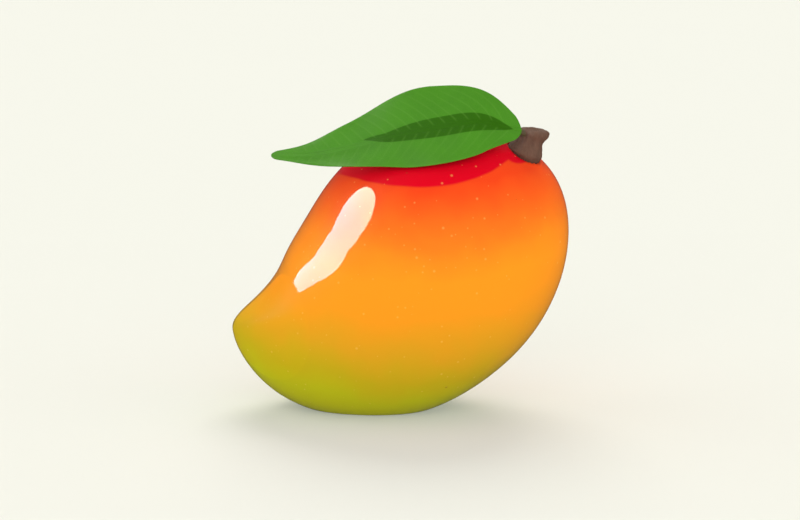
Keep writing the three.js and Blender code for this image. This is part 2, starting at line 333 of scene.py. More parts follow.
# %% Node group: pores
def pores_group():
    """Small round spots: one in each cell of a scattered net, of uneven size, some cells empty."""
    sizes = {"Spacing": 3.0, "Width": 0.6, "Share": 0.8}
    group, entry, leave = new_group("pores", sizes, ["Pores"])
    place, spacing, width, share = (entry.outputs[name] for name in ("Place", *sizes))
    scale = maths(group, "DIVIDE", 1.0, spacing)
    cells = add(group, "ShaderNodeTexVoronoi", {"Vector": place, "Scale": scale})
    away = maths(group, "MULTIPLY", cells.outputs["Distance"], spacing)
    dice = add(group, "ShaderNodeSeparateColor", {0: cells.outputs["Color"]})
    uneven = maths(group, "MULTIPLY_ADD", dice.outputs[0], 0.6, 0.2)
    radius = maths(group, "MULTIPLY", uneven, width)
    inner = maths(group, "MULTIPLY", radius, 0.4)
    spot = spread(group, away, inner, radius, 1.0, 0.0)
    present = maths(group, "LESS_THAN", dice.outputs[1], share)
    feed(group, leave, {"Pores": maths(group, "MULTIPLY", spot, present)})
    return group


PORES = pores_group()
print("node group:", PORES.name)


def use_group(tree, group, place, sizes):
    """Places a node group in a material, with sizes of its own."""
    return add(tree, "ShaderNodeGroup", {"Place": place, **sizes}, node_tree=group).outputs


# %% [markdown]
# ## The fruit's shape
# A mango is a plump body with two round cheeks and an outline that is anything but round: a high
# shoulder, a hollow back and a beak. The outline is a distance from the heart for each angle. Away
# from the middle plane the beak and the hollow fade, and what is left is the same outline averaged
# over some degrees. Drawing a ball of points out to that surface gives even faces everywhere.

# %% Sizes of the fruit
HEART = np.array([3.15, 0, 49.4])  # middle of the flesh
HALF_THICKNESS = 40
CHEEK_FULLNESS = 2.12  # 2 makes elliptical cheeks, more makes them fuller
BEAK_FADE = 2.4  # how soon the beak and the hollow over it fade towards the cheeks
CHEEK_SMOOTHING = 40  # degrees of outline averaged on each side
SMOOTHING_SAMPLES = 41
SWELL = 0.35  # height of the slow swells of the cheeks
SWELL_COUNT = 3
SWELL_TWIST = 4
FLAT_EDGE = 0.6  # softness of the edge round the flat spot underneath
OUTLINE = [
    (12, 56.9), (34, 60.5), (52, 58.3), (78, 51.0), (105, 45.7), (135, 40.9), (157, 40.4),
    (175, 44.0), (187, 50.0), (193, 57.9), (196.5, 63.9), (200, 65.8), (208, 66.1), (225, 63.4),
    (248, 56.4), (272, 51.1), (302, 47.2), (328, 48.3), (350, 51.8),
]  # degrees from +X towards +Z, and distance from the heart


# %% The smooth fruit
def plain_fruit(directions):
    """Points of the fruit in directions from its heart, before the dimple and the flat spot."""
    across = np.hypot(directions[:, 0], directions[:, 2])
    angle = np.arctan2(directions[:, 2], directions[:, 0])
    fullness = across**CHEEK_FULLNESS + np.abs(directions[:, 1]) ** CHEEK_FULLNESS
    size = fullness ** (-1 / CHEEK_FULLNESS)
    depth = directions[:, 1] * size
    edge = np.maximum(1 - depth**2, 0) ** BEAK_FADE
    degrees = np.degrees(angle)
    shares = np.linspace(-1, 1, SMOOTHING_SAMPLES)
    sampled = [around_the_clock(OUTLINE, degrees + CHEEK_SMOOTHING * share) for share in shares]
    body = np.average(sampled, 0, weights=1 - np.abs(shares))
    outline = around_the_clock(OUTLINE, degrees)
    swell = SWELL * np.sin(SWELL_COUNT * angle + SWELL_TWIST * depth) * (1 - edge)
    radius = (body + (outline - body) * edge + swell) * across * size
    flat = np.stack([radius * np.cos(angle), HALF_THICKNESS * depth, radius * np.sin(angle)], -1)
    return HEART + flat


def middle_direction(degrees, depth=0.0):
    """Direction at an angle of the outline, stepped to the side by a share of the half-thickness."""
    reach = math.sqrt(1 - depth**2)
    angle = math.radians(degrees)
    return np.array([reach * math.cos(angle), depth, reach * math.sin(angle)])


def surface_point(degrees, depth=0.0):
    """The point of the smooth fruit in such a direction."""
    return plain_fruit(middle_direction(degrees, depth)[None])[0]


# %% Where the stalk stands
STALK_ANGLE = 46.2
STALK_FORWARD = 7
STALK_LEAN = 19  # degrees from upright, towards +X
STALK_TIP_FORWARD = 4  # degrees from upright, towards the viewer
DIMPLE_DEPTH = 1.3
DIMPLE_RADIUS = 11
STALK_PROFILE = [
    (-4.5, 3.2, 0), (-4.0, 4.0, 0), (-1.8, 5.3, -0.2), (0.2, 6.1, -0.6), (1.4, 5.9, -0.6),
    (3.0, 5.2, -0.5), (4.6, 4.6, -0.4), (6.2, 4.5, -0.1), (7.5, 4.9, 0.2), (8.4, 4.9, 0.3),
    (9.0, 4.5, 0.3), (9.3, 3.8, 0.3),
]  # height over the skin, radius, and shift towards +X

stalk_direction = middle_direction(STALK_ANGLE, -STALK_FORWARD / HALF_THICKNESS)
lean = Euler((math.radians(STALK_TIP_FORWARD), math.radians(STALK_LEAN), 0), "ZYX")
stalk_turn = np.array(lean.to_matrix())
stalk_axis = stalk_turn[:, 2]
stalk_foot = plain_fruit(stalk_direction[None])[0] - DIMPLE_DEPTH * stalk_axis
print("stalk foot:", stalk_foot.round(2), "axis:", stalk_axis.round(3))


def on_stalk(points):
    """Points given in the stalk's own directions, moved to where the stalk stands."""
    return np.asarray(points) @ stalk_turn.T + stalk_foot


# %% [markdown]
# ## The skin as a mesh
# The faces of an even ball are about a millimetre wide here, which is fine for the cheeks and too
# coarse for the socket of the stalk and the scar on the beak. Instead of splitting the whole ball
# once more, its points are gathered towards those two places before they are drawn out. The socket
# closes tightly round the stalk's foot, and the skin stands up against it in a low lip.

# %% Sizes of the small forms in the skin
SKIN_SPLITS = 7  # how often the faces of the first ball are split in four
BEAK_TIP_ANGLE = 201
GATHERING = [
    (middle_direction(BEAK_TIP_ANGLE), 0.55, math.radians(32)),
    (stalk_direction, 0.65, math.radians(20)),
]  # towards what, by what share, and from how far
SOCKET_GAP = 0.05  # between the stalk's foot and the skin round it
SOCKET_SOFTNESS = 0.2
SOCKET_DEPTH = 2.2
CORK_WIDTH = 0.7  # ring of brown skin round the socket
SCAR_RADIUS = 1.5
SCAR_DEPTH = 0.35
LIP_HEIGHT = 1.0  # low lip of skin against the stalk's lower side
LIP_WIDTH = 2.2
LIP_TURN = math.radians(-25)  # round the stalk, from +X
DENT_HEIGHT = 0.002
DENT_WAVES = [(0.62, 0.31, 0.44), (-0.35, 0.57, 0.52), (0.28, -0.66, 0.49)]  # radians a millimetre

beak_tip = surface_point(BEAK_TIP_ANGLE)
print("tip of the beak:", beak_tip.round(1))


# %% Draw the ball out to the skin
def ball_directions(splits):
    """Points and faces of an even ball of triangles."""
    mesh = bpy.data.meshes.new("ball")
    ball = bmesh.new()
    bmesh.ops.create_icosphere(ball, subdivisions=splits, radius=1)
    ball.to_mesh(mesh)
    ball.free()
    points = np.array([point.co for point in mesh.vertices])
    faces = [tuple(face.vertices) for face in mesh.polygons]
    bpy.data.meshes.remove(mesh)
    return unit(points), faces


def gather(directions, centre, share, reach):
    """Turns directions towards a centre, most where they are near it already."""
    cosine = np.clip(directions @ centre, -1, 1)
    angle = np.arccos(cosine)
    nearer = angle * (1 - share * bell(angle, reach))
    sideways = unit(directions - cosine[:, None] * centre)
    return np.cos(nearer)[:, None] * centre + np.sin(nearer)[:, None] * sideways


def socket_distance(local):
    """How far points in the stalk's directions lie outside the widest part of its foot below them."""
    heights, radii, shifts = np.array(STALK_PROFILE).T
    widest = np.interp(local[:, 2], heights, np.maximum.accumulate(radii))
    shift = np.interp(local[:, 2], heights, shifts)
    return np.hypot(local[:, 0] - shift, local[:, 1]) - widest - SOCKET_GAP


def skin_points(directions):
    """Points of the skin, with its dimple, socket, beak scar, faint dents and flat spot. The mark is
    1 on the corky skin at the socket and 0 on all the rest."""
    points = plain_fruit(directions)
    dents = sum(np.sin(points @ np.array(wave)) for wave in DENT_WAVES)
    points += unit(points - HEART) * (DENT_HEIGHT * dents)[:, None]
    pit = SCAR_DEPTH * bell(np.linalg.norm(points - beak_tip, axis=1), SCAR_RADIUS)
    points -= unit(points - HEART) * pit[:, None]
    local = (points - stalk_foot) @ stalk_turn
    above = local[:, 2] > -DIMPLE_RADIUS
    dimple = DIMPLE_DEPTH * bell(np.hypot(local[:, 0], local[:, 1]), DIMPLE_RADIUS)
    local[:, 2] -= dimple
    outside = socket_distance(local)
    socket = SOCKET_DEPTH * (1 - smooth_step(outside, -SOCKET_SOFTNESS, SOCKET_SOFTNESS))
    facing = np.maximum(np.cos(np.arctan2(local[:, 1], local[:, 0]) - LIP_TURN), 0)
    lip = LIP_HEIGHT * facing**2 * bell(outside, LIP_WIDTH)
    points -= stalk_axis * (above * (dimple + socket - lip))[:, None]
    near = np.maximum(FLAT_EDGE - np.abs(points[:, 2]), 0) / FLAT_EDGE
    points[:, 2] = np.maximum(points[:, 2], 0) + near**2 * FLAT_EDGE / 4
    return points, above * (1 - smooth_step(outside, 0, CORK_WIDTH))


directions, skin_faces = ball_directions(SKIN_SPLITS)
for centre, share, reach in GATHERING:
    directions = gather(directions, centre, share, reach)
skin, skin_cork = skin_points(directions)
print("skin spans", (skin.max(0) - skin.min(0)).round(1), "mm")

# %% [markdown]
# ## The ripening skin
# The sun side of a ripe mango is red and its underside stays green, with orange between. The colour
# here follows the distance from a point over the shoulder, as rings of ripeness do. A crimson band
# with a clear edge lies round the stalk: partly the mango's own blush, and partly the shadow of the
# leaf and the stalk, painted into the skin. Pale pores, faint freckles and a small brown scar at
# the beak are laid over that, and a corky ring round the stalk's socket, which the mesh has marked.
# The gloss has two layers: a faint, soft one in the skin, and a crisp coat of wax over it, which
# mirrors a lamp with clean edges. On the beak's flank a dull bloom lies on the wax and ends its gloss.

# %% Colours of the skin
RIPE_CENTRE = (9.3, 151.5)  # across and up, in the picture's plane
RIPENESS = [
    (76, (235, 68, 25)), (85, (242, 95, 28)), (93, (246, 117, 30)), (100, (251, 137, 31)),
    (108, (254, 149, 31)), (121, (240, 151, 31)), (133, (218, 158, 31)), (143, (193, 168, 25)),
    (150, (186, 184, 24)),
]  # distance from that centre, and the paint there
# crimson of the blush, which also stands for the shadow of the leaf and the stalk, painted on the skin
BLUSH_AND_SHADOW_PAINT = paint(216, 4, 30)
# the band's edge follows the leaf's lower margin and the stalk's foot, where their painted shadow lies
BLUSH_AND_SHADOW_CIRCLES = [
    ((6.7, 149.9), 73.8),
    ((10.3, 117.8), 41.6),
    ((40.4, 90.3), 5.6),
]  # centre and radius of the edge towards the beak, towards the stalk, and under the stalk
BLUSH_AND_SHADOW_TURN = (6.0, 15.0)  # across these, the first edge goes over into the second
BLUSH_AND_SHADOW_EDGE_DEPTHS = (-12.0, 25.0)  # between these depths its edge goes from sharp to soft
BLUSH_AND_SHADOW_EDGE_WIDTHS = (0.5, 9.0)
BLUSH_AND_SHADOW_WOBBLE = 0.12  # the share of the patches' push that its edge follows
PATCH_PUSH = 1.6  # how far patches push the colours about
SKIN_PATCHES = {"Patch Size": 17.0, "Grain Size": 1.1}
SKIN_PORES = {"Spacing": 2.9, "Width": 0.8, "Share": 0.75}
FRECKLES = {"Spacing": 9.0, "Width": 1.0, "Share": 0.3}
PORE_PAINT = paint(255, 214, 120)
FRECKLE_PAINT = paint(128, 74, 28)
SCAR_PAINT = paint(112, 78, 34)
SCAR_STAIN = (0.75, 1.95)  # it fades between these distances from the tip of the beak
CORK_PAINT = paint(132, 70, 42)  # corky skin where it meets the stalk
PORE_DEPTH = 0.012
SKIN_GRAIN_HEIGHT = 0.004
SKIN_ROUGHNESS = 0.36
PATCH_ROUGHNESS = 0.1  # how much rougher the patches are, and the pores
PORE_ROUGHNESS = 0.15
BLOOM_PLACE = (198.7, -0.53)  # a dull bloom lies on the wax here: angle of the outline, and depth
BLOOM_REACH = (19.4, 20.5)  # and it fades between these distances from there
WAX_WEIGHT = 0.8
SKIN_GLOSS = {"Specular IOR Level": 0.01, "Coat Roughness": 0.03, "Coat IOR": 1.3}


# %% Colours of ripeness
def ripening(tree, in_plane, pushed):
    """The skin's colour, by its distance from the centre of ripeness."""
    from_centre = measure(tree, "DISTANCE", in_plane, (*RIPE_CENTRE, 0))
    ripeness = maths(tree, "ADD", from_centre, pushed)
    first, last = RIPENESS[0][0], RIPENESS[-1][0]
    share = maths(tree, "DIVIDE", maths(tree, "SUBTRACT", ripeness, first), last - first)
    ramp = add(tree, "ShaderNodeValToRGB", {0: share})
    stops = ramp.color_ramp.elements
    while len(stops) < len(RIPENESS):
        stops.new(0.5)
    for stop, (distance, colour) in zip(stops, RIPENESS):
        stop.position = (distance - first) / (last - first)
        stop.color = paint(*colour)
    return ramp.outputs[0]


def blush_and_painted_shadow_mask(tree, in_plane, across, depth, pushed):
    """1 in the blush with the leaf's and stalk's painted shadow, 0 outside; sharp in front, soft behind."""
    past = []
    for centre, radius in BLUSH_AND_SHADOW_CIRCLES:
        away = measure(tree, "DISTANCE", in_plane, (*centre, 0))
        past.append(maths(tree, "SUBTRACT", away, radius))
    turned = spread(tree, across, *BLUSH_AND_SHADOW_TURN)
    change = maths(tree, "MULTIPLY", maths(tree, "SUBTRACT", past[1], past[0]), turned)
    outside = maths(tree, "MINIMUM", maths(tree, "ADD", past[0], change), past[2])
    wobbly = maths(tree, "MULTIPLY_ADD", pushed, BLUSH_AND_SHADOW_WOBBLE, outside)
    edge = spread(tree, depth, *BLUSH_AND_SHADOW_EDGE_DEPTHS, *BLUSH_AND_SHADOW_EDGE_WIDTHS)
    return spread(tree, wobbly, maths(tree, "MULTIPLY", edge, -1.0), edge, 1.0, 0.0)


# %% Material: ripe skin
def ripe_skin():
    material, tree, shader = new_material("ripe_skin")
    place = place_in_mm(tree)
    turn = math.radians(VIEW_ELEVATION)
    across = measure(tree, "DOT_PRODUCT", place, (1, 0, 0))
    up = measure(tree, "DOT_PRODUCT", place, (0, math.sin(turn), math.cos(turn)))
    depth = measure(tree, "DOT_PRODUCT", place, (0, 1, 0))
    in_plane = add(tree, "ShaderNodeCombineXYZ", {0: across, 1: up}).outputs[0]
    patches = use_group(tree, PATCHES, place, SKIN_PATCHES)
    pushed = maths(tree, "MULTIPLY_ADD", patches["Patches"], 2 * PATCH_PUSH, -PATCH_PUSH)
    # the crimson band is partly blush and partly the leaf's and stalk's shadow, painted into the colour
    blush_and_shadow = blush_and_painted_shadow_mask(tree, in_plane, across, depth, pushed)
    colour = blend(tree, blush_and_shadow, ripening(tree, in_plane, pushed), BLUSH_AND_SHADOW_PAINT)

    pores = use_group(tree, PORES, place, SKIN_PORES)["Pores"]
    freckles = use_group(tree, PORES, place, FRECKLES)["Pores"]
    scar = spread(tree, measure(tree, "DISTANCE", place, tuple(beak_tip)), *SCAR_STAIN, 1.0, 0.0)
    colour = tint(tree, colour, PORE_PAINT, pores, 0.22)
    colour = tint(tree, colour, FRECKLE_PAINT, freckles, 0.45)
    colour = tint(tree, colour, SCAR_PAINT, scar, 0.85)
    colour = tint(tree, colour, CORK_PAINT, stored_mark(tree, "cork"), 0.7)

    rough = maths(tree, "MULTIPLY_ADD", patches["Patches"], PATCH_ROUGHNESS, SKIN_ROUGHNESS)
    rough = maths(tree, "MULTIPLY_ADD", pores, PORE_ROUGHNESS, rough)
    relief = maths(tree, "MULTIPLY", patches["Grain"], SKIN_GRAIN_HEIGHT)
    relief = maths(tree, "MULTIPLY_ADD", pores, -PORE_DEPTH, relief)
    from_bloom = measure(tree, "DISTANCE", place, tuple(surface_point(*BLOOM_PLACE)))
    waxy = spread(tree, from_bloom, *BLOOM_REACH, 0.0, WAX_WEIGHT)
    dress(tree, shader, colour, rough, relief, {"Coat Weight": waxy, **SKIN_GLOSS})
    return material


make_piece("ripe_skin", skin, skin_faces, ripe_skin(), "fruit", {"cork": skin_cork})

# %% [markdown]
# ## The stalk
# The stub is woody: a swollen foot in the dimple, a neck and a flare below the cut. Its section is
# round with low ribs, and fine cracks run up the bark. The cut face is dished, with the rings of the
# wood and a soft pith in the middle. One profile of height, radius and shift makes it all. Cracks are
# small waves of the radius, the foot bulges a little to one side, and the slant of the cut comes last.

# %% Sizes of the stalk
STALK_SIDES = 144
STALK_ROWS = 110
CUT_ROWS = 26
BARK_RIBS = 7
BARK_RIB_HEIGHT = 0.22
CRACKS = [(19, 0.07, 0.8), (34, 0.05, 1.7), (61, 0.03, 2.9)]  # count, depth, and sway up the stalk
FOOT_SWELL = 0.8  # the foot bulges over the skin towards the viewer and the beak
FOOT_SWELL_TURN = math.radians(235)
FOOT_SWELL_LEVEL = 1.3
FOOT_SWELL_REACH = 1.6
CUT_DISH = 0.4
CUT_SLOPE = 0.2  # the cut slants: its rise towards +X, per mm
CUT_LEVEL = 0.8  # distance towards +X where it keeps the profile's height
CUT_START = 7.2  # height from which the stalk follows the slant
CRACKS_START = (0.0, 0.6)  # the cracks fade in and out between these heights
CRACKS_STOP = (8.6, 9.3)
WOOD_RINGS = 5
WOOD_RING_HEIGHT = 0.05
LAST_RING = 0.02  # radius of the last ring of points in the cut, as a share


# %% The stalk as rings
def stalk_rings():
    """Points ring by ring, from the foot in the skin to the middle of the cut, with a mark for each.
    The marks are the turn round the stalk, the height, and how far into the cut face a point is."""
    turn = np.linspace(0, 2 * np.pi, STALK_SIDES, endpoint=False)[None]
    path, _ = along_path(STALK_PROFILE, np.linspace(0, 1, STALK_ROWS))
    height, radius, shift = (path[:, k : k + 1] for k in range(3))
    bark = smooth_step(height, *CRACKS_START) * (1 - smooth_step(height, *CRACKS_STOP))
    rib = np.where(height > 0, BARK_RIB_HEIGHT, 0) * np.cos(BARK_RIBS * turn)
    crack = sum(
        depth * np.sin(count * turn + sway * height + 2 * np.sin(0.5 * count + 0.7 * height))
        for count, depth, sway in CRACKS
    )
    swell = FOOT_SWELL * bell(height - FOOT_SWELL_LEVEL, FOOT_SWELL_REACH)
    facing = np.maximum(np.cos(turn - FOOT_SWELL_TURN), 0) ** 2
    out = radius + rib + bark * crack + swell * facing
    side = np.stack([shift + out * np.cos(turn), out * np.sin(turn), height + 0 * turn], -1)

    inward = np.linspace(0, 1, CUT_ROWS + 1)[1:, None]
    share = 1 - inward * (1 - LAST_RING)
    dish = CUT_DISH * (1 - share**2)
    rings = WOOD_RING_HEIGHT * np.sin(2 * np.pi * WOOD_RINGS * share) * np.sin(np.pi * share)
    cut_height = height[-1] - dish + rings
    cut_x = shift[-1] + out[-1:] * share * np.cos(turn)
    cut = np.stack([cut_x, out[-1:] * share * np.sin(turn), cut_height + 0 * turn], -1)

    points = np.concatenate([side, cut])
    into_cut = np.concatenate([np.zeros(STALK_ROWS), inward[:, 0]])[:, None]
    marks = np.stack([turn + 0 * into_cut, points[..., 2], into_cut + 0 * turn], -1)
    near_cut = np.clip((points[..., 2] - CUT_START) / (height[-1, 0] - CUT_START), 0, 1)
    points[..., 2] += CUT_SLOPE * near_cut * (points[..., 0] - CUT_LEVEL)
    return points.reshape(-1, 3), marks.reshape(-1, 3)


stalk_points, stalk_marks = stalk_rings()

# %% Colours of the bark
BARK_PAINT = paint(106, 76, 63)
BARK_DARK_PAINT = paint(86, 61, 50)
BARK_PALE_PAINT = paint(120, 89, 74)
CUT_WOOD_PAINT = paint(104, 76, 62)
PITH_PAINT = paint(88, 62, 48)
BARK_STREAKS = {"Patch Size": 1.6, "Grain Size": 0.35}
BARK_STREAK_SHRINK = (1.0, 1.0, 0.22)  # shrinking the height draws the streaks out upwards
BARK_PORES = {"Spacing": 2.2, "Width": 0.7, "Share": 0.5}
BARK_FOOT = (-0.4, 0.8)  # the dark foot fades between these heights
CUT_EDGE = (0.02, 0.16)  # where bark turns into wood, and wood into pith, on the way into the cut
PITH_EDGE = (0.82, 0.9)
BARK_GLOSS = {"Specular IOR Level": 0.2}


# %% Material: bark
def bark():
    material, tree, shader = new_material("bark")
    place = place_in_mm(tree)
    marks = add(tree, "ShaderNodeSeparateXYZ", {0: stored_mark(tree, "bark_place", "Vector")})
    height, into_cut = marks.outputs[1], marks.outputs[2]
    stretched = vector_maths(tree, "MULTIPLY", place, BARK_STREAK_SHRINK)
    streaks = use_group(tree, PATCHES, stretched, BARK_STREAKS)
    pores = use_group(tree, PORES, place, BARK_PORES)["Pores"]
    colour = tint(tree, BARK_PAINT, BARK_DARK_PAINT, streaks["Patches"], 0.55)
    colour = tint(tree, colour, BARK_PALE_PAINT, streaks["Grain"], 0.3)
    colour = tint(tree, colour, BARK_PALE_PAINT, pores, 0.5)
    colour = tint(tree, colour, BARK_DARK_PAINT, spread(tree, height, *BARK_FOOT, 1.0, 0.0), 0.4)

    rings = maths(tree, "SINE", maths(tree, "MULTIPLY", into_cut, 2 * math.pi * WOOD_RINGS))
    wood = tint(tree, CUT_WOOD_PAINT, PITH_PAINT, spread(tree, rings, -1.0, 1.0), 0.35)
    wood = blend(tree, spread(tree, into_cut, *PITH_EDGE), wood, PITH_PAINT)
    colour = blend(tree, spread(tree, into_cut, *CUT_EDGE), colour, wood)

    rough = maths(tree, "MULTIPLY_ADD", streaks["Grain"], 0.15, 0.72)
    relief = maths(tree, "MULTIPLY_ADD", streaks["Grain"], 0.06, maths(tree, "MULTIPLY", pores, 0.05))
    dress(tree, shader, colour, rough, relief, BARK_GLOSS)
    return material


stalk_faces = tube_faces(STALK_ROWS + CUT_ROWS, STALK_SIDES)
marks = {"bark_place": stalk_marks}
make_piece("cut_stalk", on_stalk(stalk_points), stalk_faces, bark(), "stalk", marks)

# %% [markdown]
# ## The leaf blade
# The blade is a long leaf with a round base, widest near that end, and a drawn-out tip. It is thin,
# folded a little along its midrib, and its margins wave. The midrib lies in a channel on the glossy
# face and stands out below, and side veins leave it at a steep angle and bend forward near the
# margin. All that is a height over the blade's own curved plane, so it is modelled, not painted.
# Only the shade in the fold along the midrib is painted, as a dark crescent of deeper green.

# %% Sizes of the leaf
BLADE_THICKNESS = 0.9
MARGIN_THINNING = 0.7  # share of the thickness that is lost towards the margin
BLADE_HALF_WIDTH = 15.6
BLADE_WIDEST = 0.335
BLADE_POWER = 1.23
BASE_ROOM = 0.045  # share of the length that the width's curve starts before the base
TIP_ROOM = 0.29  # share of the length that it runs on past the tip
BASE_ROUNDING = 0.032
TIP_ROUNDING = 0.03
BLADE_FOLD = 0.1
BLADE_TILT_BASE = 50
BLADE_TILT_TIP = 56
BLADE_LENGTH = 89
MARGIN_WAVES = 3
MARGIN_WAVE_HEIGHT = 0.6
LOWER_WAVES_PHASE = 1.9
CHANNEL_DEPTH = 0.5
CHANNEL_HALF_WIDTH = 2.4
MIDRIB_HEIGHT = 1.1
MIDRIB_HALF_WIDTH = 1.3
MIDRIB_FADE = 0.17
BLADE_END = 0.001
ROW_EASING = 0.75
MIDRIB_PATH = [
    (41.7, -11.5, 99.3), (27.4, -15.5, 102.7), (13.1, -17.6, 101.1), (-1.2, -18.4, 98.5),
    (-15.5, -18.0, 94.7), (-29.8, -16.5, 91.8), (-44.1, -13.5, 90.8),
]
VEIN_SPACING = 4.1
VEIN_FORWARD = 0.5  # how far a vein runs forward for each millimetre that it runs out
VEIN_BEND = 0.03  # how much it bends forward on its way
VEIN_HALF_WIDTH = 0.3
VEIN_START = (0.6, 1.8)  # the veins rise between these distances from the midrib
VEINS_FROM = (0.02, 0.08)  # and fade in and out between these shares of the length
VEINS_TO = (0.86, 0.97)
VEIN_GROOVE = 0.06  # on the glossy face
VEIN_RIDGE = 0.16  # on the underside
RIB_LINE_HEIGHT = 0.22  # the midrib's own back, in the channel
RIB_LINE_HALF_WIDTH = 0.45
BLADE_ROWS = 301
BLADE_COLUMNS = 81


# %% The blade as a sheet
def rounded_end(from_end, rounding):
    """A quarter circle's rise from 0 at an end of the blade to 1 where its rounding stops."""
    left = 1 - np.minimum(from_end / rounding, 1)
    return np.sqrt(1 - left**2)


def blade_half_width(along):
    to_base = BLADE_WIDEST + BASE_ROOM
    to_tip = 1 - BLADE_WIDEST + TIP_ROOM
    rise = ((along + BASE_ROOM) / to_base) ** BLADE_POWER
    fall = ((1 - along + TIP_ROOM) / to_tip) ** (BLADE_POWER * to_tip / to_base)
    ends = rounded_end(along, BASE_ROUNDING) * rounded_end(1 - along, TIP_ROUNDING)
    return BLADE_HALF_WIDTH * rise * fall * ends


def side_veins(along, reach, across):
    """1 on the side veins and 0 between them. The lower half's veins leave between the upper's."""
    out = np.abs(reach)
    start = along * BLADE_LENGTH - VEIN_FORWARD * out - VEIN_BEND * out**2
    start = start + np.where(reach < 0, VEIN_SPACING / 2, 0)
    away = np.abs(np.mod(start, VEIN_SPACING) - VEIN_SPACING / 2)
    line = bell(away, VEIN_HALF_WIDTH)
    fade = (1 - np.abs(across) ** 6) * smooth_step(out, *VEIN_START)
    return line * fade * smooth_step(along, *VEINS_FROM) * (1 - smooth_step(along, *VEINS_TO))


def blade_points(along, across, face):
    """Points of the blade. Face is 1 on the glossy face and -1 on the underside."""
    middle, forward = along_path(MIDRIB_PATH, along)
    tilt = np.radians(BLADE_TILT_BASE + (BLADE_TILT_TIP - BLADE_TILT_BASE) * along)
    upward = np.stack([0 * tilt, np.cos(tilt), np.sin(tilt)], -1)
    upward = unit(upward - np.sum(upward * forward, -1, keepdims=True) * forward)
    outward = np.cross(upward, forward)
    reach = across * blade_half_width(along)
    phase = 2 * np.pi * MARGIN_WAVES * along + np.where(across > 0, 0, LOWER_WAVES_PHASE)
    wave = MARGIN_WAVE_HEIGHT * across**2 * np.sin(phase) * np.sin(np.pi * along)
    fade = np.minimum(1, (1 - along) / MIDRIB_FADE)

    veins = side_veins(along, reach, across)
    lift = BLADE_FOLD * np.abs(reach) + wave - CHANNEL_DEPTH * fade * bell(reach, CHANNEL_HALF_WIDTH)
    lift += face * BLADE_THICKNESS / 2 * (1 - MARGIN_THINNING * across**8)
    if face > 0:
        lift += RIB_LINE_HEIGHT * fade * bell(reach, RIB_LINE_HALF_WIDTH) - VEIN_GROOVE * veins
    else:
        lift -= MIDRIB_HEIGHT * fade * bell(reach, MIDRIB_HALF_WIDTH) + VEIN_RIDGE * veins
    return middle + upward * reach[..., None] + outward * lift[..., None], reach, veins


def blade_grid():
    """The two faces' points, with marks: place along, reach from the midrib, face; and veins."""
    share = np.linspace(0, 1, BLADE_ROWS)
    eased = share + (((1 - np.cos(np.pi * share)) / 2) - share) * ROW_EASING
    along = BLADE_END + eased * (1 - 2 * BLADE_END)
    along, across = np.meshgrid(along, np.linspace(-1, 1, BLADE_COLUMNS), indexing="ij")
    made = [(face, *blade_points(along, across, face)) for face in (1, -1)]
    points = np.concatenate([points.reshape(-1, 3) for _, points, _, _ in made])
    marks = [np.stack([along, reach, face + 0 * along], -1) for face, _, reach, _ in made]
    veins = np.concatenate([veins.ravel() for _, _, _, veins in made])
    marks = np.concatenate([mark.reshape(-1, 3) for mark in marks])
    return points, marks, veins, np.tile(across.ravel(), 2)


leaf_points, leaf_marks, leaf_veins, leaf_across = blade_grid()

# %% Colours of the leaf
LEAF_PAINT = paint(70, 134, 31)
LEAF_PALE_PAINT = paint(90, 150, 46)
LEAF_DEEP_PAINT = paint(58, 118, 24)
# dark green of the painted shade along the fold of the midrib
FOLD_SHADE_PAINT = paint(46, 99, 6)
VEIN_PAINT = paint(100, 156, 58)
UNDERSIDE_PAINT = paint(118, 158, 84)
LEAF_PATCHES = {"Patch Size": 9.0, "Grain Size": 0.5}
LEAF_GLOSS = {"Specular IOR Level": 0.06, "Coat Weight": 0.07, "Coat Roughness": 0.2}
PALE_MARGIN = (0.955, 0.995)  # share of the half-width across which the margin gets paler
NET_SCALE = 1.3  # cells of the finest veins, per millimetre
NET_LINE = 0.12
# the dark crescent is painted shade of the fold along the midrib, laid over its shallow channel
CRESCENT_MIDDLE = 0.31  # widest place of the dark crescent, as a share of the blade
CRESCENT_TO_BASE = 0.275
CRESCENT_TO_TIP = 0.32
CRESCENT_BASE_POWER = 3.3  # more makes that end blunter
CRESCENT_TIP_POWER = 2.0
CRESCENT_HALF_WIDTH = 3.95
CRESCENT_OFFSET = -0.45  # it lies a little below the midrib
CRESCENT_TIP_OFFSET = 1.25  # and its thin end bends up over it
CRESCENT_BEND = 0.11  # within this share of the blade before that end
CRESCENT_EDGE = 0.22


# %% Material: leaf
def painted_fold_shade(tree, along, reach):
    """1 inside the dark crescent of painted shade along the midrib's fold, 0 outside."""
    past = maths(tree, "SUBTRACT", along, CRESCENT_MIDDLE)
    basal = maths(tree, "LESS_THAN", past, 0.0)
    length = maths(tree, "MULTIPLY_ADD", basal, CRESCENT_TO_BASE - CRESCENT_TO_TIP, CRESCENT_TO_TIP)
    power = maths(tree, "MULTIPLY_ADD", basal, CRESCENT_BASE_POWER - CRESCENT_TIP_POWER, CRESCENT_TIP_POWER)
    gone = maths(tree, "POWER", maths(tree, "DIVIDE", maths(tree, "ABSOLUTE", past), length), power)
    half_width = maths(tree, "MULTIPLY_ADD", gone, -CRESCENT_HALF_WIDTH, CRESCENT_HALF_WIDTH)
    thin_end = CRESCENT_MIDDLE + CRESCENT_TO_TIP
    bend = thin_end - CRESCENT_BEND
    middle = spread(tree, along, bend, thin_end, CRESCENT_OFFSET, CRESCENT_TIP_OFFSET)
    aside = maths(tree, "ABSOLUTE", maths(tree, "SUBTRACT", reach, middle))
    return spread(tree, maths(tree, "SUBTRACT", half_width, aside), -CRESCENT_EDGE, CRESCENT_EDGE)


